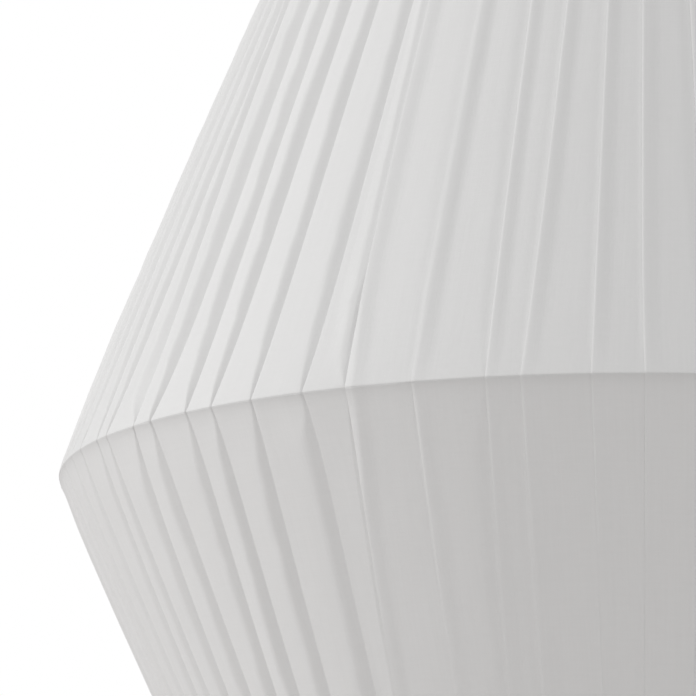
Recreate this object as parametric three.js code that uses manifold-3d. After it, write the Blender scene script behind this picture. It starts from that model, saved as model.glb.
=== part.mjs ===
// A two-cone lamp shade: a welded wire frame that is wound with white ribbon.
//
// Units are millimetres and +Z is up. The origin is the middle of the bottom rim,
// on the plane that the rim stands on. Most pieces are turned about the Z axis, so
// they are drawn as outlines in a half plane, where x is the radius and y the height.

import * as THREE from "three";
import { mergeVertices } from "three/addons/utils/BufferGeometryUtils.js";
import Module from "manifold-3d";

// Outside sizes, measured over the ribbon
const SHADE_HEIGHT = 350;
const EQUATOR_HEIGHT = 120;
const EQUATOR_RADIUS = 225;
const TOP_RADIUS = 137;
const BOTTOM_RADIUS = 169;
const UPPER_BULGE = 2.6; // how far the folds of the ribbon stand out midway between two rings
const LOWER_BULGE = 1.2;

// Stock
const RING_WIRE_RADIUS = 2;
const RIB_WIRE_RADIUS = 1.5;
const RIBBON_LAYERS = 2; // thickness of the overlapped turns of ribbon
const GAP = 0.3; // clearance kept between neighbouring pieces

// Wire frame
const RIB_COUNT = 8;
const RIB_BEND_LENGTH = 9; // from the start of a rib's bend to its corner

// Fitter: a flat ring on three arms, for a standard 40 mm lampholder collar
const ARM_COUNT = 3;
const FITTER_DROP = 28; // from the top ring's centre down to the arms' inner ends
const FITTER_HOLE_RADIUS = 21;
const FITTER_OUTER_RADIUS = 33;
const FITTER_THICKNESS = 2;
const ARM_OVERLAP = 4.5; // how far an arm reaches in under the fitter ring
const ARM_CURVE_REACH = 48; // length of the level stretch that shapes each end of an arm
const ARM_NOTCH_CLEARANCE = 0.5;

// Fineness
const TURNED_SEGMENTS = 72;
const RING_WIRE_SIDES = 8;
const ROD_SIDES = 8;
const RIB_STEPS = 20;
const ARM_STEPS = 14;
const LOWER_COVER_STEPS = 3;
const UPPER_COVER_STEPS = 5;
const RIDGE_STEPS = 2;
const EDGE_TURN_STEPS = 2;
const RIM_FLAT_HALF_ANGLE = THREE.MathUtils.degToRad(15);

// Worked out from the driving sizes
const edgeTurnRadius = RING_WIRE_RADIUS + GAP + RIBBON_LAYERS; // outside of the ribbon round a ring
const ribbonMiddle = edgeTurnRadius - RIBBON_LAYERS / 2; // mid-thickness of the ribbon round a ring
const bottomRing = new THREE.Vector2(
  BOTTOM_RADIUS - edgeTurnRadius,
  edgeTurnRadius * Math.cos(RIM_FLAT_HALF_ANGLE),
);
const equatorRing = new THREE.Vector2(EQUATOR_RADIUS - edgeTurnRadius, EQUATOR_HEIGHT);
const topRing = new THREE.Vector2(TOP_RADIUS - edgeTurnRadius, SHADE_HEIGHT - edgeTurnRadius);
const armEndHeight = topRing.y - FITTER_DROP;

const wasm = await Module();
wasm.setup();

const ribbonFabric = { color: 0xeeedea, roughness: 0.85, metalness: 0 };
const liningFabric = { color: 0xf2f1ee, roughness: 0.9, metalness: 0 };
const paintedWire = { color: 0xf4f4f2, roughness: 0.45, metalness: 0 };
const platedSteel = { color: 0xc9cacb, roughness: 0.35, metalness: 0.9 };

const shade = new THREE.Group();

function addPiece(name, geometry, finish) {
  const piece = new THREE.Mesh(geometry, new THREE.MeshStandardMaterial(finish));
  piece.name = name;
  shade.add(piece);
  return piece;
}

// ---- Outlines in the half plane ----

function polar(centre, radius, angle) {
  const arm = new THREE.Vector2(Math.cos(angle), Math.sin(angle));
  return centre.clone().addScaledVector(arm, radius);
}

// The side of the line from one point to another that faces away from the shade's axis
// when the line runs upwards.
function outwardAngle(from, to) {
  const along = to.clone().sub(from);
  return Math.atan2(-along.x, along.y);
}

// Stations along a round turn about a ring. Each one is a point and the way that faces out there.
function turnStations(centre, startAngle, endAngle, steps) {
  const stations = [];
  for (let step = 0; step <= steps; step += 1) {
    const angle = THREE.MathUtils.lerp(startAngle, endAngle, step / steps);
    stations.push({ point: polar(centre, ribbonMiddle, angle), angle });
  }
  return stations;
}

// Stations along a stretch of ribbon between two rings, standing out by a bulge midway.
function stretchStations(from, to, angle, bulge, steps) {
  const stations = [];
  for (let step = 0; step <= steps; step += 1) {
    const share = step / steps;
    const middle = from.clone().lerp(to, share);
    const standOff = ribbonMiddle + bulge * 4 * share * (1 - share);
    stations.push({ point: polar(middle, standOff, angle), angle });
  }
  return stations;
}

// A band of ribbon, as thick as its layers, with its mid-thickness on the stations.
function bandOutline(stations) {
  const half = RIBBON_LAYERS / 2;
  const front = stations.map((station) => polar(station.point, half, station.angle));
  const back = stations.map((station) => polar(station.point, -half, station.angle));
  return [...front, ...back.reverse()];
}

function circleOutline(centre, radius, sides) {
  const outline = [];
  for (let side = 0; side < sides; side += 1) {
    outline.push(polar(centre, radius, (side / sides) * Math.PI * 2));
  }
  return outline;
}

// ---- Solids ----

// Turns a closed outline about the Z axis.
function turned(outline) {
  const counterClockwise = THREE.ShapeUtils.area(outline) > 0 ? outline : [...outline].reverse();
  const closed = [...counterClockwise, counterClockwise[0].clone()];
  return new THREE.LatheGeometry(closed, TURNED_SEGMENTS).rotateX(Math.PI / 2);
}

// A round rod along a curve.
function rod(curve, radius, steps) {
  const section = new THREE.Shape(circleOutline(new THREE.Vector2(), radius, ROD_SIDES));
  return new THREE.ExtrudeGeometry(section, { extrudePath: curve, steps });
}

function toSolid(geometry) {
  const plain = geometry.clone();
  plain.deleteAttribute("normal");
  plain.deleteAttribute("uv");
  const welded = mergeVertices(plain);
  return new wasm.Manifold(new wasm.Mesh({
    numProp: 3,
    vertProperties: new Float32Array(welded.getAttribute("position").array),
    triVerts: new Uint32Array(welded.getIndex().array),
  }));
}

function toGeometry(solid) {
  const mesh = solid.getMesh();
  const geometry = new THREE.BufferGeometry();
  geometry.setAttribute("position", new THREE.BufferAttribute(mesh.vertProperties, 3));
  geometry.setIndex(new THREE.BufferAttribute(mesh.triVerts, 1));
  geometry.computeVertexNormals();
  return geometry;
}

// ---- Wire frame ----

const rings = { top_ring: topRing, equator_ring: equatorRing, bottom_ring: bottomRing };
for (const [name, centre] of Object.entries(rings)) {
  addPiece(name, turned(circleOutline(centre, RING_WIRE_RADIUS, RING_WIRE_SIDES)), paintedWire);
}

// A rib runs from the top ring to the bottom ring, bent where it is welded inside the equator ring.
// It is drawn in the plane of X and Z.
function ribCurve() {
  const at = (point) => new THREE.Vector3(point.x, 0, point.y);
  const weldReach = RING_WIRE_RADIUS + GAP;
  const corner = equatorRing.clone();
  corner.x -= weldReach + RIB_WIRE_RADIUS;
  const reach = (from, distance) => {
    const along = corner.clone().sub(from).normalize();
    return from.clone().addScaledVector(along, distance);
  };
  const topEnd = reach(topRing, weldReach);
  const bottomEnd = reach(bottomRing, weldReach);
  const upperBend = reach(topRing, corner.distanceTo(topRing) - RIB_BEND_LENGTH);
  const lowerBend = reach(bottomRing, corner.distanceTo(bottomRing) - RIB_BEND_LENGTH);
  const curve = new THREE.CurvePath();
  curve.add(new THREE.LineCurve3(at(topEnd), at(upperBend)));
  curve.add(new THREE.QuadraticBezierCurve3(at(upperBend), at(corner), at(lowerBend)));
  curve.add(new THREE.LineCurve3(at(lowerBend), at(bottomEnd)));
  return curve;
}

for (let index = 0; index < RIB_COUNT; index += 1) {
  const rib = addPiece(`rib_${index + 1}`, rod(ribCurve(), RIB_WIRE_RADIUS, RIB_STEPS), paintedWire);
  rib.rotation.z = (index / RIB_COUNT) * Math.PI * 2;
}

// ---- Fitter ----

function armAngle(index) {
  return Math.PI / 2 + (index / ARM_COUNT) * Math.PI * 2;
}

// An arm starts at the inside of the top ring, level, and dips to end level under the fitter ring.
function armCurve() {
  const outer = new THREE.Vector3(topRing.x - RING_WIRE_RADIUS - GAP, 0, topRing.y);
  const inner = new THREE.Vector3(FITTER_OUTER_RADIUS - ARM_OVERLAP, 0, armEndHeight);
  const outerHandle = outer.clone();
  outerHandle.x -= ARM_CURVE_REACH;
  const innerHandle = inner.clone();
  innerHandle.x += ARM_CURVE_REACH;
  return new THREE.CubicBezierCurve3(outer, outerHandle, innerHandle, inner);
}

for (let index = 0; index < ARM_COUNT; index += 1) {
  const arm = addPiece(`fitter_arm_${index + 1}`, rod(armCurve(), RIB_WIRE_RADIUS, ARM_STEPS), paintedWire);
  arm.rotation.z = armAngle(index);
}

const fitterUnderside = armEndHeight + RIB_WIRE_RADIUS + GAP;
const fitterTop = fitterUnderside + FITTER_THICKNESS;
addPiece("fitter_ring", turned([
  new THREE.Vector2(FITTER_HOLE_RADIUS, fitterUnderside),
  new THREE.Vector2(FITTER_OUTER_RADIUS, fitterUnderside),
  new THREE.Vector2(FITTER_OUTER_RADIUS, fitterTop),
  new THREE.Vector2(FITTER_HOLE_RADIUS, fitterTop),
]), platedSteel);

// ---- Ribbon ----

const lowerAngle = outwardAngle(bottomRing, equatorRing);
const upperAngle = outwardAngle(equatorRing, topRing);
const liningAngle = outwardAngle(bottomRing, topRing) + Math.PI;
const endGapAngle = GAP / ribbonMiddle; // leaves the gap between an edge turn and the cover

// Clears the way of the arms through the ribbon just inside the top ring.
function cutArmNotches(geometry) {
  const notchRadius = RIB_WIRE_RADIUS + ARM_NOTCH_CLEARANCE;
  const notchLength = edgeTurnRadius * 3;
  let solid = toSolid(geometry);
  for (let index = 0; index < ARM_COUNT; index += 1) {
    const notch = new THREE.CylinderGeometry(notchRadius, notchRadius, notchLength, ROD_SIDES * 2);
    notch.rotateZ(Math.PI / 2);
    notch.translate(topRing.x - RING_WIRE_RADIUS - notchLength / 2, 0, topRing.y);
    notch.rotateZ(armAngle(index));
    solid = solid.subtract(toSolid(notch));
  }
  return toGeometry(solid);
}

// The outside winding runs from the bottom ring over the equator ring to the top ring.
addPiece("ribbon_cover", turned(bandOutline([
  ...stretchStations(bottomRing, equatorRing, lowerAngle, LOWER_BULGE, LOWER_COVER_STEPS),
  ...turnStations(equatorRing, lowerAngle, upperAngle, RIDGE_STEPS).slice(1, -1),
  ...stretchStations(equatorRing, topRing, upperAngle, UPPER_BULGE, UPPER_COVER_STEPS),
])), ribbonFabric);

// The return of the winding runs straight up inside and makes the lining.
addPiece("ribbon_lining", cutArmNotches(turned(bandOutline(
  stretchStations(bottomRing, topRing, liningAngle, 0, 1),
))), liningFabric);

// The winding turns over the top ring and under the bottom ring.
const crest = Math.PI / 2;
addPiece("ribbon_top_turn", cutArmNotches(turned(bandOutline([
  ...turnStations(topRing, upperAngle + endGapAngle, crest, EDGE_TURN_STEPS),
  ...turnStations(topRing, crest, liningAngle - endGapAngle, EDGE_TURN_STEPS).slice(1),
]))), ribbonFabric);

// The underside has a narrow flat, where the rim stands on a table.
const rimFlatStart = -crest + RIM_FLAT_HALF_ANGLE;
const rimFlatEnd = -crest - RIM_FLAT_HALF_ANGLE;
addPiece("ribbon_bottom_turn", turned(bandOutline([
  ...turnStations(bottomRing, lowerAngle - endGapAngle, rimFlatStart, EDGE_TURN_STEPS),
  ...turnStations(bottomRing, rimFlatEnd, liningAngle - Math.PI * 2 + endGapAngle, EDGE_TURN_STEPS),
])), ribbonFabric);

export default shade;
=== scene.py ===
"""The looks of a two-cone lamp shade that is wound with white ribbon.

Everything is in metres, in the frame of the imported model: +Z is up and the shade's axis is the
Z axis. Azimuths are in degrees about that axis, from the side that faces the camera (-Y), and they
grow to the camera's right.
"""

import math

import bpy
import numpy as np
from mathutils import Matrix, Vector


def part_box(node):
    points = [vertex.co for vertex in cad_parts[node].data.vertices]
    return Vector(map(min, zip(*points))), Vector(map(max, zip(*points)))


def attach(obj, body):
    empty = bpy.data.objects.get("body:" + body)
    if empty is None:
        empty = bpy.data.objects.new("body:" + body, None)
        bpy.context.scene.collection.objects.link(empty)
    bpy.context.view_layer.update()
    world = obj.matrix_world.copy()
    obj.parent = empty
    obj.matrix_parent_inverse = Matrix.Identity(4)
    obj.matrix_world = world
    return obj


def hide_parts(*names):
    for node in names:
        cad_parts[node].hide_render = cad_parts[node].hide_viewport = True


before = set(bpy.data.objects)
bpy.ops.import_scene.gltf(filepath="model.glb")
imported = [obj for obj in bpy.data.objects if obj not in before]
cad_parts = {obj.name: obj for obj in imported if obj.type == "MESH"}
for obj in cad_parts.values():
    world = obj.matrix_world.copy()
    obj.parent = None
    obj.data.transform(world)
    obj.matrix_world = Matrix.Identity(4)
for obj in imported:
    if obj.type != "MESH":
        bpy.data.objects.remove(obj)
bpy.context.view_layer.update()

MM = 0.001
SEED = 20

# ---- The frame's rings, which everything is measured from ----


def ring_centre(node):
    """The radius and height of the centre of a wire ring's section."""
    low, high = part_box(node)
    wire_radius = (high.z - low.z) / 2
    return np.array((high.x - wire_radius, (high.z + low.z) / 2))


TOP_RING = ring_centre("top_ring")
EQUATOR_RING = ring_centre("equator_ring")
BOTTOM_RING = ring_centre("bottom_ring")
EQUATOR_HEIGHT = EQUATOR_RING[1]

# ---- Camera ----

CAMERA_DISTANCE = 1.42
CAMERA_ELEVATION = -10.13
CAMERA_YAW = -4.74  # the shade's axis stands right of the picture's middle
CAMERA_PITCH = 2.222  # and the ridge stands below it
CAMERA_ROLL = 0.98
LENS_MM = 190.2
FARTHEST_SEEN = 50


def make_camera():
    """A camera below the ridge that looks up at the shade."""
    elevation = math.radians(CAMERA_ELEVATION)
    centre = Vector((0, 0, EQUATOR_HEIGHT))
    away = Vector((0, -math.cos(elevation), math.sin(elevation)))
    eye = centre + away * CAMERA_DISTANCE
    heading = math.radians(CAMERA_YAW)
    rise = -elevation + math.radians(CAMERA_PITCH)
    forward = Vector((
        math.sin(heading) * math.cos(rise),
        math.cos(heading) * math.cos(rise),
        math.sin(rise),
    ))
    right = forward.cross(Vector((0, 0, 1))).normalized()
    up = right.cross(forward)
    roll = math.radians(CAMERA_ROLL)
    rolled_right = right * math.cos(roll) + up * math.sin(roll)
    rolled_up = up * math.cos(roll) - right * math.sin(roll)
    turn = Matrix((rolled_right, rolled_up, -forward)).transposed().to_4x4()
    camera_data = bpy.data.cameras.new("camera")
    camera_data.lens = LENS_MM
    camera_data.clip_end = FARTHEST_SEEN
    camera = bpy.data.objects.new("camera", camera_data)
    camera.matrix_world = Matrix.Translation(eye) @ turn
    bpy.context.scene.collection.objects.link(camera)
    bpy.context.scene.camera = camera


make_camera()

# ---- Ribbon winding ----

RIBBON_WIDTH = 35 * MM
RIBBON_THICKNESS = 0.16 * MM
LAYER_STEP = 0.22 * MM  # how much higher each turn lies than the turn before it
BASE_OFFSET = 3.9 * MM  # from a ring's centre to the foot of a turn's visible face
RIDGE_RADIUS = 0.9 * MM  # the ribbon is pulled tight over the equator ring, into a crisp ridge
RIDGE_ROLL = 5.0  # degrees that the winding rolls past the lower cone's lean, just under the ridge
RIDGE_ROLL_REACH = 1.3 * MM  # how soon that roll fades out below the ridge
TURN_COUNT = 78
LENGTH_COUNT = 6  # the winding is made of this many lengths of ribbon
TURNS_PER_LENGTH = TURN_COUNT // LENGTH_COUNT
FOLD_GROWTH = 21 * MM  # how fast a fold opens with the distance from a ring
LOWER_FOLD_GROWTH = 14 * MM  # the same on the lower cone
FOLD_AT_RING = 0.15  # how much of a fold is left at a ring
FOLD_WAVERS = ((0.11, 38 * MM), (0.10, 8 * MM))  # a fold's width varies by these shares, over these lengths
WIDEST_FOLD = 0.55  # of the pitch
BAND_OVER_FOLD = 1.4  # how far the fine columns reach beyond the fold
BAND_LIMIT = 0.5  # of the pitch, before which the fine columns don't start
INSIDE_FOLD = 0.8  # a fold's width inside the shade, as a share
INSIDE_TILT = 0.4  # and its tilt
TILT_CHANGE = 8 * MM  # the height over which a fold's tilt changes at the ridge
RING_PINCH = 0.9  # how much steeper a fold is at a ring
RING_PINCH_REACH = 5 * MM
CREST_SOFTNESS = 0.42  # how much of a fold's crest is rounded off, as a share of its height
LEAST_RISE_WIDTH = 0.1 * MM  # the least width that a turn rises to its crest over
LEAN_GROWTH = 28 * MM  # how fast an edge takes up its lean above the equator ring
DRIFT_LENGTH = 150 * MM  # the height above the equator ring that an edge's drift is given for
KICK_GROWTH = 15 * MM  # how fast an edge takes up its kick below the equator ring
UPPER_STAND_OFF = 1.25 * MM  # how far the winding stands out midway, under the folds
LOWER_STAND_OFF = 0.95 * MM
LEAST_PITCH = 4 * MM
BEAD_WIDTH = 0.8 * MM  # a plain rim's width
BEAD_SLOPE = 0.22  # how far an edge's rim is rounded down over its width
MOST_ROUNDING = 1.2
RIM_ROUNDNESS = 2  # the power of a plain rim's curve; a curled rim's is less by CURL_FLATTENING
CURL_FLATTENING = 0.8
RIM_BITE = 0.02 * MM  # how far an edge may be rounded down past the layer it lies on
CURL_REACH = 26 * MM  # how far from the equator ring a rim's curl fades out
GATHER_START = 9 * MM  # the height above that ring by which a gathered fold is at its widest
GATHER_REACH = 22 * MM  # and how far it takes to fade out
LIP_WIDTH = 5.2 * MM  # how far from its edge a turn lies flat again
LIP_LIMIT = 0.35  # of the pitch, the widest that a lip may be
LIP_START = 0.3  # of the rim's width, where the lip starts to sink
RIM_LIFT = 0.22 * MM  # how much a turn rises just before it goes under the next one's rim
RIM_LIFT_WIDTH = 2.0 * MM
SUPPORT_START = 0.3  # of the pitch, where a turn starts to rise towards the next one's raised edge
LOW_RIM_END = 88 * MM  # below the equator ring, where the rims on the lower cone lie flat again

CREASE_AZIMUTH = -26.4  # the edge, in the list below, that a crease runs along
CREASE_HEIGHT = 24 * MM  # the crease's middle, above the equator ring
CREASE_REACH = 17 * MM  # how far up and down it fades out
CREASE_DEPTH = 0.75 * MM
CREASE_WALL = 0.8 * MM  # the width of its steep side, at the edge
CREASE_FLANK = 8 * MM  # and of its other side

# The edges that face the camera, from left to right. Each is a turn's left edge, which lies on the
# turn before it. "Above" and "below" are above and below the equator ring. A row gives, in order:
#   the edge's azimuth at the ring, in degrees;
#   the fold to its left, where the turn before dips under it: its width in mm above and below,
#     and its tilt in degrees above and below;
#   the edge's course in degrees: its lean just above the ring and its drift over DRIFT_LENGTH,
#     then its kick just below the ring and its lean from there to the bottom ring;
#   how high the edge stands up, in mm, above and below;
#   how strongly its rim is rounded, above and below;
#   how much wider its rim curls near the ring, in mm;
#   how much wider its fold is just above the ring, as a share.
SEEN_EDGES = (
    (-77.5, 2.0, 3.0, 42, 22, 1.0, -0.4, 0.0, 0.0, 0.1, 0.0, 0.0, 0.0, 0.0, 0.0),
    (-73.6, 2.0, 3.0, 42, 22, 1.4, -0.6, 0.0, 0.2, 0.1, 0.0, 0.0, 0.0, 0.0, 0.0),
    (-69.6, 2.1, 3.2, 42, 24, 1.3, -0.5, 0.0, 0.0, 0.1, 0.0, 0.0, 0.0, 0.0, 0.0),
    (-65.9, 2.1, 2.7, 42, 26, 2.0, -2.9, -0.2, 0.6, 0.1, 0.0, 0.0, 0.0, 0.0, 0.0),
    (-61.0, 2.2, 2.8, 42, 26, 0.8, -2.2, -0.2, -0.6, 0.1, 0.0, 0.0, 0.0, 0.0, 0.0),
    (-58.7, 2.5, 2.8, 42, 25, 2.0, -1.2, 0.1, 0.1, 0.1, 0.0, 0.0, 0.0, 0.0, 0.0),
    (-53.1, 2.3, 4.2, 43, 25, 1.9, -4.3, -0.5, -0.8, 0.1, 0.0, 0.0, 0.0, 0.0, 6.5),
    (-50.1, 4.8, 4.4, 37, 25, 2.9, -2.1, 0.5, -0.2, 0.1, 0.0, 0.0, 0.0, 0.0, 0.0),
    (-44.7, 4.5, 4.3, 35, 23, 1.2, -1.2, 0.8, -1.7, 0.1, 0.0, 0.2, 0.1, 0.0, 0.0),
    (-41.3, 4.4, 4.2, 33, 23, 1.3, -0.1, 0.8, -1.3, 0.1, 0.0, 0.2, 0.1, 0.0, 0.0),
    (-36.4, 4.2, 4.8, 30, 20, 0.8, 0.4, 0.5, -1.3, 0.1, 0.0, 0.2, 0.9, 0.4, 0.0),
    (-30.75, 4.1, 5.6, 25, 16, 0.85, 0.3, 1.0, -1.2, 0.1, 0.0, 0.2, 0.1, 0.0, 0.0),
    (-26.4, 2.6, 1.3, 20, 17, -0.3, -0.4, 0.4, -2.6, 0.9, 0.55, 0.3, 1.0, 2.4, 2.0),
    (-20.1, 4.5, 1.5, 4, 8, 0.2, 0.1, 0.1, -1.0, 1.3, 0.35, 0.1, 0.9, 0.5, 0.0),
    (-13.5, 4.5, 4.5, 7, 5, 0.0, -0.1, 0.0, -1.3, 0.85, 0.25, 1.0, 0.7, 0.1, 0.0),
    (-10.5, 3.5, 3.5, 3, 1, 0.3, 1.0, 0.0, -0.4, 0.85, 0.3, 1.0, 0.9, 0.3, 0.0),
    (-4.55, 3.5, 3.5, 2, 0, 0.0, 0.1, 0.0, 0.0, 0.85, 0.4, 1.1, 1.7, 0.0, 0.0),
    (-0.1, 3.5, 3.5, 1, 0, -0.3, 0.0, 0.0, 0.0, 0.85, 0.4, 1.2, 1.8, 0.1, 0.0),
    (5.1, 4.0, 4.0, 6, 2, 0.0, 0.0, 0.0, 0.0, 0.7, 0.3, 1.0, 1.2, 0.0, 0.0),
)
(AZIMUTH, FOLD, LOW_FOLD, TILT, LOW_TILT, LEAN, DRIFT, LOW_KICK, LOW_LEAN,
 LIP, LOW_LIP, ROUNDING, LOW_ROUNDING, CURL, GATHER) = range(15)


# The other edges, all the way round: the least and the most of each column after the azimuth.
UNSEEN_RANGES = (
    (3, 6), (3, 6), (5, 30), (2, 18),
    (-0.3, 1.0), (-0.6, 0.4), (0, 0.6), (-1.0, 0.2),
    (0.1, 0.6), (0, 0.2), (0, 1), (0, 1), (0, 0.5), (0, 0.3),
)
UNSEEN_PITCHES = (0.62, 1.4)  # the narrowest and widest pitch, before they are scaled to fill the gap


def plan_edges(rng):
    """The edges of all turns round the shade, in rows like those of SEEN_EDGES."""
    seen = np.array(SEEN_EDGES)
    count = TURN_COUNT - len(seen)
    gap = 360 - (seen[-1, AZIMUTH] - seen[0, AZIMUTH])
    pitches = rng.uniform(*UNSEEN_PITCHES, count + 1)
    pitches *= gap / pitches.sum()
    azimuths = seen[-1, AZIMUTH] + np.cumsum(pitches)[:-1]
    unseen = [azimuths] + [rng.uniform(low, high, count) for low, high in UNSEEN_RANGES]
    return np.vstack((seen, np.column_stack(unseen)))


def direction(angle):
    """A unit step in the half plane: outwards at 0, up at a quarter turn."""
    return np.array((math.cos(angle), math.sin(angle)))


def outward_angle(low, high):
    """The way that faces away from the axis from a line that runs upwards in the half plane."""
    along = high - low
    return math.atan2(-along[0], along[1])


LOWER, UPPER, INSIDE, BEND = range(4)  # the zones of the route


class Route:
    """One turn's way round the frame in the half plane, sampled at stations."""

    def __init__(self):
        self.points, self.angles, self.zones = [], [], []
        self.reach = []  # each station's distances from both ends of its stretch

    def stretch(self, start, end, angle, offsets, stand_off, shares, zone, roll=0.0):
        """Along a line between two rings, at an offset from each. It may roll off the end ring."""
        length = float(np.linalg.norm(end - start))
        for share in shares:
            offset = offsets[0] + (offsets[1] - offsets[0]) * share + stand_off * 4 * share * (1 - share)
            offset += roll * math.exp(-length * (1 - share) / RIDGE_ROLL_REACH)
            self.points.append(start + (end - start) * share + direction(angle) * offset)
            self.angles.append(angle)
            self.zones.append(zone)
            self.reach.append((length * share, length * (1 - share)))

    def bend(self, centre, start_angle, end_angle, steps, radius=BASE_OFFSET):
        """Round a ring. The stretches on both sides give the first and the last station."""
        for step in range(1, steps):
            angle = start_angle + (end_angle - start_angle) * step / steps
            self.points.append(centre + direction(angle) * radius)
            self.angles.append(angle)
            self.zones.append(BEND)
            self.reach.append((0.0, 0.0))

    def finish(self):
        """Turn the lists into arrays, and measure the way along the route."""
        self.points = np.array(self.points)
        self.normals = np.array([direction(angle) for angle in self.angles])
        self.zones = np.array(self.zones)
        self.reach = np.array(self.reach)
        steps = np.linalg.norm(np.diff(self.points, axis=0), axis=1)
        self.along = np.concatenate(([0.0], np.cumsum(steps)))
        return self


def eased_shares(count, power):
    """Shares from 0 to 1 that crowd towards both ends."""
    t = np.linspace(-1, 1, count)
    return 0.5 + 0.5 * np.sign(t) * (1 - (1 - np.abs(t)) ** power)


START_TILT = 14  # degrees inwards from straight down, where the route starts and ends at the bottom ring
LOWER_STATIONS = (34, 1.9)  # the count on a stretch, and how strongly they crowd towards its ends
UPPER_STATIONS = (44, 1.7)
INSIDE_STATIONS = (22, 1.5)
BOTTOM_STEPS = 6  # on each half of the bend under the bottom ring
RIDGE_STEPS = 7
TOP_STEPS = 11


def winding_route():
    """From under the bottom ring, over the ridge and the top ring, and straight back down inside."""
    lower = outward_angle(BOTTOM_RING, EQUATOR_RING)
    upper = outward_angle(EQUATOR_RING, TOP_RING)
    inside = outward_angle(BOTTOM_RING, TOP_RING) + math.pi
    start = -math.pi / 2 - math.radians(START_TILT)
    end = start + 2 * math.pi
    half_turn = (upper - lower) / 2
    shift = (BASE_OFFSET - RIDGE_RADIUS) / math.cos(half_turn)
    ridge = EQUATOR_RING + direction((upper + lower) / 2) * shift
    roll = math.radians(RIDGE_ROLL)
    route = Route()
    route.bend(BOTTOM_RING, start, lower, BOTTOM_STEPS)
    route.stretch(BOTTOM_RING, ridge, lower, (BASE_OFFSET, RIDGE_RADIUS), LOWER_STAND_OFF,
                  eased_shares(*LOWER_STATIONS), LOWER, math.tan(roll) * RIDGE_ROLL_REACH)
    route.bend(ridge, lower - roll, upper, RIDGE_STEPS, RIDGE_RADIUS)
    route.stretch(ridge, TOP_RING, upper, (RIDGE_RADIUS, BASE_OFFSET), UPPER_STAND_OFF,
                  eased_shares(*UPPER_STATIONS), UPPER)
    route.bend(TOP_RING, upper, inside, TOP_STEPS)
    route.stretch(TOP_RING, BOTTOM_RING, inside, (BASE_OFFSET, BASE_OFFSET), 0.0,
                  eased_shares(*INSIDE_STATIONS), INSIDE)
    route.bend(BOTTOM_RING, inside, end, BOTTOM_STEPS)
    return route.finish()


def ease(t):
    """A smooth step from 0 to 1."""
    t = np.clip(t, 0, 1)
    return t * t * (3 - 2 * t)


def smooth_noise(rng, positions, cell):
    """Smooth seeded noise from -1 to 1 along a line."""
    grid = positions / cell
    values = rng.uniform(-1, 1, int(grid.max()) + 4)
    low = np.floor(grid).astype(int)
    share = ease(grid - low)
    return values[low] * (1 - share) + values[low + 1] * share


def opening(route):
    """0 at the rings that a stretch hangs between, and near 1 away from them."""
    upper = (1 - np.exp(-route.reach / FOLD_GROWTH)).prod(axis=1)
    lower = (1 - np.exp(-(route.reach / LOWER_FOLD_GROWTH) ** 2)).prod(axis=1)
    return np.where(route.zones == LOWER, lower, upper)


LEAST_SOFTNESS = 1e-6  # so that a flat fold doesn't divide by zero


def smooth_least(a, b, softness):
    """The smaller of two heights, with the corner between them rounded."""
    softness = np.maximum(softness, LEAST_SOFTNESS)
    mix = np.clip(0.5 + 0.5 * (b - a) / softness, 0, 1)
    return b + (a - b) * mix - softness * mix * (1 - mix)


def outside_azimuths(route, row):
    """An edge's azimuth in degrees at every station, as if it stayed outside all the way."""
    above = np.maximum(route.points[:, 1] - EQUATOR_HEIGHT, 0)
    below = np.maximum(EQUATOR_HEIGHT - route.points[:, 1], 0)
    lean = row[LEAN] * (1 - np.exp(-above / LEAN_GROWTH)) + row[DRIFT] * above / DRIFT_LENGTH
    low_lean = row[LOW_KICK] * (1 - np.exp(-below / KICK_GROWTH))
    low_lean += row[LOW_LEAN] * below / (EQUATOR_HEIGHT - BOTTOM_RING[1])
    return row[AZIMUTH] + lean + low_lean


def all_edges(route, plan):
    """Edges in radians, by turn and station. Inside, each turn crosses to where the next one starts."""
    outside = np.array([outside_azimuths(route, row) for row in plan])
    next_start = np.roll(outside[:, 0], -1)
    next_start[-1] += 360
    first = np.argmax(route.zones == INSIDE)
    run = np.maximum(route.along - route.along[first], 0)
    share = run / run[-1]
    crossing = outside[:, first, None] * (1 - share) + next_start[:, None] * share
    turned_in = np.arange(len(share)) >= first
    return np.radians(np.where(turned_in, crossing, outside))


def turned(edges, index):
    """The edge of any turn, also past the last one."""
    count = len(edges)
    return edges[index % count] + 2 * math.pi * (index // count)


TURNS_BEFORE = 2  # the neighbours that may lie over or under a turn
TURNS_AFTER = 6


def layers_above(edges, index, azimuth):
    """How many later turns lie on this one at each azimuth, as a count that grows smoothly."""
    near = range(index - TURNS_BEFORE, index + TURNS_AFTER + 1)
    places = np.array([turned(edges, number) for number in near])
    result = np.empty_like(azimuth)
    for station in range(azimuth.shape[0]):
        line = np.maximum.accumulate(places[:, station])
        result[station] = np.interp(azimuth[station], line, np.array(near) - index)
    return result


# Where a turn's columns stand, as shares of the way across its rim, its lip, its face, the band in
# which it dips, and the part that is hidden under the next turn.
BEAD_SHARES = np.array((0.0, 0.15, 0.4, 0.7, 1.0))
LIP_SHARES = np.array((0.14, 0.3, 0.47, 0.64, 0.82, 1.0))
FACE_SHARES = np.array((0.16, 0.34, 0.52, 0.68, 0.84, 1.0))
BAND_SHARES = np.array((0.13, 0.26, 0.39, 0.52, 0.65, 0.78, 0.9, 1.0))
HIDDEN_SHARES = np.array((0.04, 0.2, 0.5, 1.0))


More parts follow.
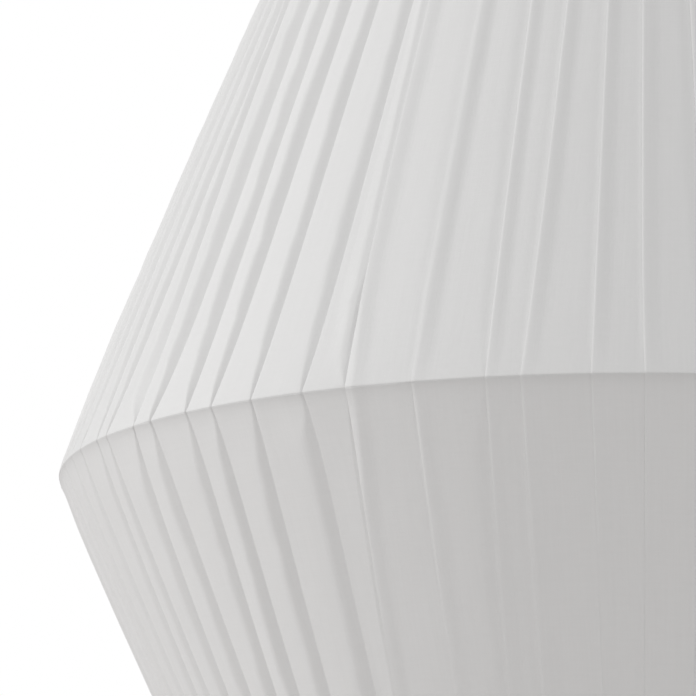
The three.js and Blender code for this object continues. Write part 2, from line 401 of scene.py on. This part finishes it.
def rim(route, row, open_share):
    """An edge's rim, by station: its width, how far it drops to the edge, how high it stands up and
    the power of its curve."""
    below = np.maximum(EQUATOR_HEIGHT - route.points[:, 1], 0)
    is_low = route.zones == LOWER
    stands = np.where(is_low, row[LOW_LIP], row[LIP]) * MM * open_share
    curl = row[CURL] * MM * np.exp(-((route.points[:, 1] - EQUATOR_HEIGHT) / CURL_REACH) ** 2)
    stands = stands + BEAD_SLOPE * curl
    width = BEAD_WIDTH + curl
    rounding = np.where(is_low, row[LOW_ROUNDING] * (1 - ease(below / LOW_RIM_END)), row[ROUNDING])
    rounding = np.maximum(rounding, curl / BEAD_WIDTH)
    drop = BEAD_SLOPE * width * np.minimum(rounding, MOST_ROUNDING)
    roundness = RIM_ROUNDNESS - CURL_FLATTENING * np.minimum(curl / BEAD_WIDTH, 1)
    return width, np.minimum(drop, stands + RIM_BITE), stands, roundness


def crease(route, to_edge):
    """A sharp crease where one turn was pulled under its neighbour, just above the equator ring."""
    from_middle = (route.points[:, 1] - EQUATOR_HEIGHT - CREASE_HEIGHT) / CREASE_REACH
    depth = CREASE_DEPTH * np.exp(-from_middle ** 2) * (route.zones == UPPER)
    wall = np.clip(to_edge / CREASE_WALL, 0, 1)
    flank = 1 - ease((to_edge - CREASE_WALL) / CREASE_FLANK)
    return depth[:, None] * wall * flank


def fold_shape(route, over, pitch, open_share, rng):
    """The fold where a turn dips under the turn over it, by station: its width and its slope."""
    inside = route.zones == INSIDE
    waver = 1.0
    for share, length in FOLD_WAVERS:
        waver = waver + share * smooth_noise(rng, route.along, length)
    above = np.maximum(route.points[:, 1] - EQUATOR_HEIGHT, 0)
    gathered = 1 + over[GATHER] * ease(above / GATHER_START) * np.exp(-above / GATHER_REACH)
    fold = np.where(route.zones == LOWER, over[LOW_FOLD], over[FOLD] * gathered) * MM
    fold *= open_share * np.where(inside, INSIDE_FOLD, 1.0) * waver
    below_share = ease((EQUATOR_HEIGHT + TILT_CHANGE / 2 - route.points[:, 1]) / TILT_CHANGE)
    tilt = over[TILT] + (over[LOW_TILT] - over[TILT]) * below_share
    tilt = np.where(inside, INSIDE_TILT * over[TILT], tilt)
    pinch = 1 + RING_PINCH * np.exp(-route.reach.min(axis=1) / RING_PINCH_REACH)
    slope = np.tan(np.radians(tilt)) * pinch / np.sqrt(gathered)
    return np.minimum(fold, WIDEST_FOLD * pitch), slope


def turn_sheet(route, plan, edges, index, rng):
    """One turn's left edge, and its columns' distances from the edge and heights, by station."""
    row = plan[index % TURN_COUNT]
    over = plan[(index + 1) % TURN_COUNT]
    radius = route.points[:, 0]
    edge = turned(edges, index)
    pitch = np.maximum((turned(edges, index + 1) - edge) * radius, LEAST_PITCH)
    open_share = FOLD_AT_RING + (1 - FOLD_AT_RING) * opening(route)
    fold, slope = fold_shape(route, over, pitch, open_share, rng)
    crest = fold * slope

    rim_width, rim_drop, stands, roundness = (part[:, None] for part in rim(route, row, open_share))
    _, over_drop, over_stands, _ = (part[:, None] for part in rim(route, over, open_share))
    lip_end = rim_width + np.minimum(LIP_WIDTH, LIP_LIMIT * pitch)[:, None]
    band_start = np.maximum(pitch - BAND_OVER_FOLD * fold, BAND_LIMIT * pitch)[:, None]
    wide = pitch[:, None]
    across = np.hstack((
        rim_width * BEAD_SHARES,
        rim_width + (lip_end - rim_width) * LIP_SHARES,
        lip_end + (band_start - lip_end) * FACE_SHARES,
        band_start + (wide - band_start) * BAND_SHARES,
        wide + (RIBBON_WIDTH - wide) * HIDDEN_SHARES,
    ))

    rise = crest[:, None] * across / np.maximum(wide - fold[:, None], LEAST_RISE_WIDTH)
    fall = (wide - across) * slope[:, None]
    folded = smooth_least(rise, fall, crest[:, None] * CREST_SOFTNESS)
    folded = np.where(across > wide, 0.0, np.maximum(folded, 0.0))
    if over[AZIMUTH] == CREASE_AZIMUTH:
        folded += crease(route, wide - across)
    lip = stands * (1 - ease((across - LIP_START * rim_width) / lip_end))
    # The turn rises to carry the next one's raised edge, and sinks again once it is hidden under it.
    supported = np.maximum(over_stands - over_drop, 0)
    rim_lift = np.minimum(RIM_LIFT, supported)
    ramp = np.clip((across / wide - SUPPORT_START) / (1 - SUPPORT_START), 0, 1)
    after = 1 - ease((across - wide) / LIP_WIDTH)
    last_bit = np.clip(1 + (across - wide) / RIM_LIFT_WIDTH, 0, 1)
    support = (supported - rim_lift) * ramp + rim_lift * last_bit ** 2
    support = np.where(across > wide, supported * after, support)
    rounded = rim_drop * (1 - np.clip(across / rim_width, 0, 1)) ** roundness
    azimuth = edge[:, None] + across / radius[:, None]
    layer = LAYER_STEP * (1 - layers_above(edges, index, azimuth))
    return edge, across, layer + folded + lip + support - rounded


def place(route, edge, across, height):
    """Points in space for a turn's stations and columns."""
    base_radius = route.points[:, 0][:, None]
    azimuth = edge[:, None] + across / base_radius
    radius = base_radius + route.normals[:, 0][:, None] * height
    z = route.points[:, 1][:, None] + route.normals[:, 1][:, None] * height
    return np.stack((radius * np.sin(azimuth), -radius * np.cos(azimuth), z), axis=-1)


def shell_faces(rows, columns):
    """Quads of a closed thin shell: a front grid, a back grid and the rim between them."""
    index = np.arange(rows * columns).reshape(rows, columns)
    back = index + rows * columns

    def grid(numbers):
        return np.stack((numbers[:-1, :-1], numbers[:-1, 1:], numbers[1:, 1:], numbers[1:, :-1]), -1)

    def strip(front_line, back_line):
        return np.stack((front_line[:-1], back_line[:-1], back_line[1:], front_line[1:]), -1)

    return np.vstack((
        grid(index).reshape(-1, 4),
        grid(back).reshape(-1, 4)[:, ::-1],
        strip(index[:, 0], back[:, 0])[:, ::-1],
        strip(index[:, -1], back[:, -1]),
        strip(index[0], back[0]),
        strip(index[-1], back[-1])[:, ::-1],
    ))


SHARP_ANGLE = 50


def mesh_object(name, points, faces, material, across, along):
    """A smooth-shaded mesh, with each point's place on the flat ribbon, in metres, as its UVs."""
    mesh = bpy.data.meshes.new(name)
    mesh.from_pydata(points.tolist(), [], faces.tolist())
    layer = mesh.uv_layers.new(name="ribbon")
    corners = np.zeros(len(mesh.loops), dtype=np.int64)
    mesh.loops.foreach_get("vertex_index", corners)
    layer.data.foreach_set("uv", np.column_stack((across, along))[corners].ravel())
    mesh.materials.append(material)
    mesh.shade_smooth()
    mesh.set_sharp_from_angle(angle=math.radians(SHARP_ANGLE))
    mesh.update()
    made = bpy.data.objects.new(name, mesh)
    bpy.context.scene.collection.objects.link(made)
    return made


def ribbon_length(name, route, plan, edges, first, material):
    """One length of ribbon: its turns follow each other to the right, each on top of the last."""
    tops, bottoms, distances, lengths = [], [], [], []
    start = 0.0
    for index in range(first, first + TURNS_PER_LENGTH):
        rng = np.random.default_rng(SEED + index)
        edge, across, height = turn_sheet(route, plan, edges, index, rng)
        tops.append(place(route, edge, across, height))
        bottoms.append(place(route, edge, across, height - RIBBON_THICKNESS))
        distances.append(across)
        lengths.append(np.broadcast_to((route.along + start)[:, None], across.shape))
        start += route.along[-1]
    top = np.concatenate(tops)
    rows, columns = top.shape[:2]
    points = np.concatenate((top.reshape(-1, 3), np.concatenate(bottoms).reshape(-1, 3)))
    across = np.tile(np.concatenate(distances).ravel(), 2)
    along = np.tile(np.concatenate(lengths).ravel(), 2)
    made = mesh_object(name, points, shell_faces(rows, columns), material, across, along)
    return made, start


# ---- Materials ----


class Nodes:
    """A short way to build a node tree."""

    def __init__(self, tree):
        self.tree = tree
        tree.nodes.clear()

    def add(self, kind, **values):
        node = self.tree.nodes.new(kind)
        for key, value in values.items():
            if hasattr(node, key):
                setattr(node, key, value)
            else:
                node.inputs[key.replace("_", " ")].default_value = value
        return node

    def link(self, source, target):
        self.tree.links.new(source, target)


def new_material(name):
    material = bpy.data.materials.new(name)
    material.use_nodes = True
    return material, Nodes(material.node_tree)


def principled(n, colour, roughness, **sockets):
    """A Principled shader on the output. Values that are the same all over go on its own sockets."""
    out = n.add("ShaderNodeOutputMaterial")
    shader = n.add("ShaderNodeBsdfPrincipled")
    shader.inputs["Base Color"].default_value = (*colour, 1)
    shader.inputs["Roughness"].default_value = roughness
    for name, value in sockets.items():
        shader.inputs[name.replace("_", " ")].default_value = value
    n.link(shader.outputs["BSDF"], out.inputs["Surface"])
    return shader


def stretched_noise(n, vector, sizes, detail, roughness):
    """Noise with its own size, in metres, along each axis of the coordinates."""
    mapping = n.add("ShaderNodeMapping")
    mapping.inputs["Scale"].default_value = [1 / size for size in sizes]
    n.link(vector, mapping.inputs["Vector"])
    noise = n.add("ShaderNodeTexNoise")
    noise.inputs["Scale"].default_value = 1.0
    noise.inputs["Detail"].default_value = detail
    noise.inputs["Roughness"].default_value = roughness
    n.link(mapping.outputs["Vector"], noise.inputs["Vector"])
    return noise.outputs["Fac"]


def math_node(n, operation, first, second):
    """A Math node's output. Each operand is a number or an output."""
    node = n.add("ShaderNodeMath", operation=operation)
    for socket, value in zip(node.inputs, (first, second)):
        if isinstance(value, (int, float)):
            socket.default_value = value
        else:
            n.link(value, socket)
    return node.outputs[0]


def weighted_sum(n, parts):
    """The sum of outputs, each times its weight."""
    total = None
    for output, weight in parts:
        part = math_node(n, "MULTIPLY", output, weight)
        total = part if total is None else math_node(n, "ADD", total, part)
    return total


def bump(n, height, distance, strength, shader):
    """A Bump node on the shader's normal."""
    node = n.add("ShaderNodeBump")
    node.inputs["Distance"].default_value = distance
    node.inputs["Strength"].default_value = strength
    n.link(height, node.inputs["Height"])
    n.link(node.outputs["Normal"], shader.inputs["Normal"])


def tint(n, value, dark, light, shader):
    """Base colour between two tones, as the value goes over the middle half of 0 to 1."""
    ramp = n.add("ShaderNodeValToRGB")
    for stop, position, tone in zip(ramp.color_ramp.elements, (0.25, 0.75), (dark, light)):
        stop.position = position
        stop.color = (*tone, 1)
    n.link(value, ramp.inputs["Fac"])
    n.link(ramp.outputs["Color"], shader.inputs["Base Color"])


PAINTED_RIDGE_SHADE = 0.12  # painted shade: how much darker the ribbon's colour is made, at most, just under the ridge over the equator ring
PAINTED_RIDGE_SHADE_DROP = 0.3 * MM  # how far under the ring's middle the line starts
PAINTED_RIDGE_SHADE_WIDTH = 2.2 * MM  # how soon it fades out downwards
PAINTED_RIDGE_SHADE_DEPTH = 10 * MM  # how far inside the ring's radius it is still drawn, which spares the lining


def paint_ridge_shade(n, shader):
    """Painted shade: a soft darker line mixed into the ribbon's base colour just under the ridge, where the
    ribbon turns under the equator ring. The line goes all round the shade, by height."""
    here = n.add("ShaderNodeTexCoord").outputs["Object"]
    apart = n.add("ShaderNodeSeparateXYZ")
    n.link(here, apart.inputs[0])
    flat = n.add("ShaderNodeVectorMath", operation="MULTIPLY")
    flat.inputs[1].default_value = (1, 1, 0)
    n.link(here, flat.inputs[0])
    radius = n.add("ShaderNodeVectorMath", operation="LENGTH")
    n.link(flat.outputs["Vector"], radius.inputs[0])
    inner = float(EQUATOR_RING[0]) - PAINTED_RIDGE_SHADE_DEPTH
    outside = math_node(n, "GREATER_THAN", radius.outputs["Value"], inner)
    level = float(EQUATOR_HEIGHT) - PAINTED_RIDGE_SHADE_DROP
    drop = math_node(n, "SUBTRACT", level, apart.outputs["Z"])
    away = math_node(n, "MULTIPLY", drop, 1 / PAINTED_RIDGE_SHADE_WIDTH)
    under = math_node(n, "MULTIPLY", math_node(n, "GREATER_THAN", away, 0), outside)
    line = math_node(n, "POWER", 1 / math.e, away)
    # Painted shade: this share mixes the ribbon's base colour towards black just under the ridge.
    share = math_node(n, "MULTIPLY", math_node(n, "MULTIPLY", line, under), PAINTED_RIDGE_SHADE)
    tone = shader.inputs["Base Color"].links[0].from_socket
    mix = n.add("ShaderNodeMix", data_type="RGBA", blend_type="MIX")
    n.link(share, mix.inputs["Factor"])
    n.link(tone, mix.inputs[6])
    mix.inputs[7].default_value = (0, 0, 0, 1)
    n.link(mix.outputs[2], shader.inputs["Base Color"])


WARP_THREAD = 0.27 * MM  # one warp thread and its gap
WEFT_THREAD = 0.31 * MM
# The sizes of the ribbon's marks, across it and along it. Its coordinates have no third axis.
WARP_STREAK = (0.9 * MM, 45 * MM, 1)
WEFT_SLUB = (14 * MM, 1.1 * MM, 1)
TENSION_MARK = (9 * MM, 30 * MM, 1)


def ribbon_material():
    """Plain-woven white ribbon: fine threads, uneven warp, a few thick weft threads, a slight sheen, and a
    painted shade line under the ridge.
    """
    material, n = new_material("ribbon")
    shader = principled(n, (0.865, 0.864, 0.861), 0.62, Sheen_Weight=0.05, Sheen_Roughness=0.45)
    place_on_ribbon = n.add("ShaderNodeUVMap", uv_map="ribbon").outputs["UV"]
    apart = n.add("ShaderNodeSeparateXYZ")
    n.link(place_on_ribbon, apart.inputs[0])
    warp, weft = (
        math_node(n, "SINE", math_node(n, "MULTIPLY", apart.outputs[axis], 2 * math.pi / thread), 0)
        for axis, thread in (("X", WARP_THREAD), ("Y", WEFT_THREAD))
    )
    weave = math_node(n, "MULTIPLY", warp, weft)
    warp_streaks = stretched_noise(n, place_on_ribbon, WARP_STREAK, 3.0, 0.6)
    weft_slubs = stretched_noise(n, place_on_ribbon, WEFT_SLUB, 2.0, 0.6)
    tension = stretched_noise(n, place_on_ribbon, TENSION_MARK, 2.0, 0.5)
    height = weighted_sum(n, (
        (weave, 0.05), (warp_streaks, 0.55), (weft_slubs, 0.75), (tension, 3.0),
    ))
    bump(n, height, 0.06 * MM, 1.0, shader)
    tone = weighted_sum(n, ((warp_streaks, 0.5), (weft_slubs, 0.3), (tension, 0.2)))
    tint(n, tone, (0.847, 0.846, 0.843), (0.882, 0.881, 0.878), shader)
    # Painted shade under the ridge, in the base colour.
    paint_ridge_shade(n, shader)
    return material


PEEL_SIZE = (1.6 * MM,) * 3
PAINT_PATCH = (18 * MM,) * 3


def painted_wire_material():
    """White powder coat: fine orange peel, and a gloss that varies a little."""
    material, n = new_material("painted_wire")
    shader = principled(n, (0.84, 0.84, 0.83), 0.38, Coat_Weight=0.15, Coat_Roughness=0.3)
    here = n.add("ShaderNodeTexCoord").outputs["Object"]
    peel = stretched_noise(n, here, PEEL_SIZE, 2.0, 0.5)
    patches = stretched_noise(n, here, PAINT_PATCH, 3.0, 0.5)
    bump(n, peel, 0.05 * MM, 0.6, shader)
    tint(n, patches, (0.81, 0.808, 0.795), (0.86, 0.858, 0.85), shader)
    rough = weighted_sum(n, ((patches, 0.2), (peel, 0.1)))
    n.link(math_node(n, "ADD", rough, 0.25), shader.inputs["Roughness"])
    return material


LATHE_MARK = 1.2 * MM  # one ring of marks is 2 pi times this wide
WAVE_FACTOR = 20  # the Wave texture's own factor on its coordinates
ZINC_PATCH = (6 * MM,) * 3


def fitter_steel_material():
    """Zinc-plated steel, with the fine round marks of a lathe."""
    material, n = new_material("fitter_steel")
    shader = principled(n, (0.63, 0.64, 0.65), 0.34, Metallic=1.0)
    here = n.add("ShaderNodeTexCoord").outputs["Object"]
    rings = n.add("ShaderNodeTexWave", wave_type="RINGS", rings_direction="Z")
    rings.inputs["Scale"].default_value = 1 / LATHE_MARK / WAVE_FACTOR
    rings.inputs["Distortion"].default_value = 1.5
    rings.inputs["Detail"].default_value = 3.0
    n.link(here, rings.inputs["Vector"])
    patches = stretched_noise(n, here, ZINC_PATCH, 3.0, 0.6)
    bump(n, rings.outputs["Fac"], 0.02 * MM, 0.5, shader)
    tint(n, patches, (0.58, 0.59, 0.60), (0.68, 0.69, 0.70), shader)
    rough = weighted_sum(n, ((patches, 0.16), (rings.outputs["Fac"], 0.06)))
    n.link(math_node(n, "ADD", rough, 0.24), shader.inputs["Roughness"])
    return material


FLOOR_TONE = (0.75, 0.73, 0.72)
FLOOR_MOTTLE = (1 / 3,) * 3
FLOOR_MOTTLE_STRENGTH = 0.015


def floor_material():
    """A plain pale floor with a faint mottle."""
    material, n = new_material("floor")
    shader = principled(n, FLOOR_TONE, 0.8)
    here = n.add("ShaderNodeTexCoord").outputs["Object"]
    mottle = stretched_noise(n, here, FLOOR_MOTTLE, 4.0, 0.6)
    darker = [part * (1 - FLOOR_MOTTLE_STRENGTH) for part in FLOOR_TONE]
    lighter = [part * (1 + FLOOR_MOTTLE_STRENGTH) for part in FLOOR_TONE]
    tint(n, mottle, darker, lighter, shader)
    return material


# ---- Build ----


def build_winding():
    """The whole winding, as lengths of ribbon that stand for the frame's four ribbon nodes."""
    rng = np.random.default_rng(SEED)
    plan = plan_edges(rng)
    route = winding_route()
    edges = all_edges(route, plan)
    material = ribbon_material()
    for number in range(LENGTH_COUNT):
        name = f"ribbon_length_{number + 1}"
        made, length = ribbon_length(name, route, plan, edges, number * TURNS_PER_LENGTH, material)
        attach(made, "root")
        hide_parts("ribbon_cover", "ribbon_lining", "ribbon_top_turn", "ribbon_bottom_turn")


def finish_frame():
    """Materials for the frame's own pieces, which stay as they are."""
    wire = painted_wire_material()
    steel = fitter_steel_material()
    for name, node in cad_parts.items():
        if name.startswith("ribbon"):
            continue
        node.data.materials.clear()
        node.data.materials.append(steel if name == "fitter_ring" else wire)


# ---- Stage and light ----

FLOOR_DROP = 0.35  # the shade hangs, so the floor is below it
FLOOR_SIZE = 12
KEY_AZIMUTH = -86
KEY_ELEVATION = 20
KEY_DISTANCE = 2.5
KEY_SIZE = 0.6
KEY_WATTS = 18.5
ROOM_LEVEL = 0.642  # the room's light, seen level with the shade
ROOM_FROM_FRONT = 0.31  # how much more comes from the camera's side
ROOM_FROM_ABOVE = 0.10


def make_key_light():
    """A soft lamp to the left, which rakes across the folds."""
    azimuth, elevation = math.radians(KEY_AZIMUTH), math.radians(KEY_ELEVATION)
    away = Vector((
        math.sin(azimuth) * math.cos(elevation),
        -math.cos(azimuth) * math.cos(elevation),
        math.sin(elevation),
    ))
    lamp = bpy.data.lights.new("key", "AREA")
    lamp.size = KEY_SIZE
    lamp.energy = KEY_WATTS
    light = bpy.data.objects.new("key", lamp)
    light.location = Vector((0, 0, EQUATOR_HEIGHT)) + away * KEY_DISTANCE
    light.rotation_euler = away.to_track_quat("Z", "Y").to_euler()
    bpy.context.scene.collection.objects.link(light)


def make_stage():
    """The floor, well below the hanging shade."""
    bpy.ops.mesh.primitive_plane_add(size=FLOOR_SIZE, location=(0, 0, -FLOOR_DROP))
    floor = bpy.context.object
    floor.name = "floor"
    floor.data.materials.append(floor_material())


def make_world():
    """A white room that is brighter in front and above. What the camera sees of it is plain white."""
    world = bpy.data.worlds.new("studio")
    bpy.context.scene.world = world
    world.use_nodes = True
    n = Nodes(world.node_tree)
    room = n.add("ShaderNodeTexCoord")
    facing = n.add("ShaderNodeVectorMath", operation="DOT_PRODUCT")
    facing.inputs[1].default_value = (0, -ROOM_FROM_FRONT, ROOM_FROM_ABOVE)
    n.link(room.outputs["Generated"], facing.inputs[0])
    level = n.add("ShaderNodeMath", operation="ADD")
    level.inputs[1].default_value = ROOM_LEVEL
    n.link(facing.outputs["Value"], level.inputs[0])
    lighting = n.add("ShaderNodeBackground")
    n.link(level.outputs[0], lighting.inputs["Strength"])
    view = n.add("ShaderNodeBackground")
    view.inputs["Color"].default_value = (1, 1, 1, 1)
    path = n.add("ShaderNodeLightPath")
    mix = n.add("ShaderNodeMixShader")
    n.link(path.outputs["Is Camera Ray"], mix.inputs[0])
    n.link(lighting.outputs[0], mix.inputs[1])
    n.link(view.outputs[0], mix.inputs[2])
    out = n.add("ShaderNodeOutputWorld")
    n.link(mix.outputs[0], out.inputs["Surface"])


build_winding()
finish_frame()
make_stage()
make_world()
make_key_light()
bpy.context.scene.view_settings.view_transform = "Standard"
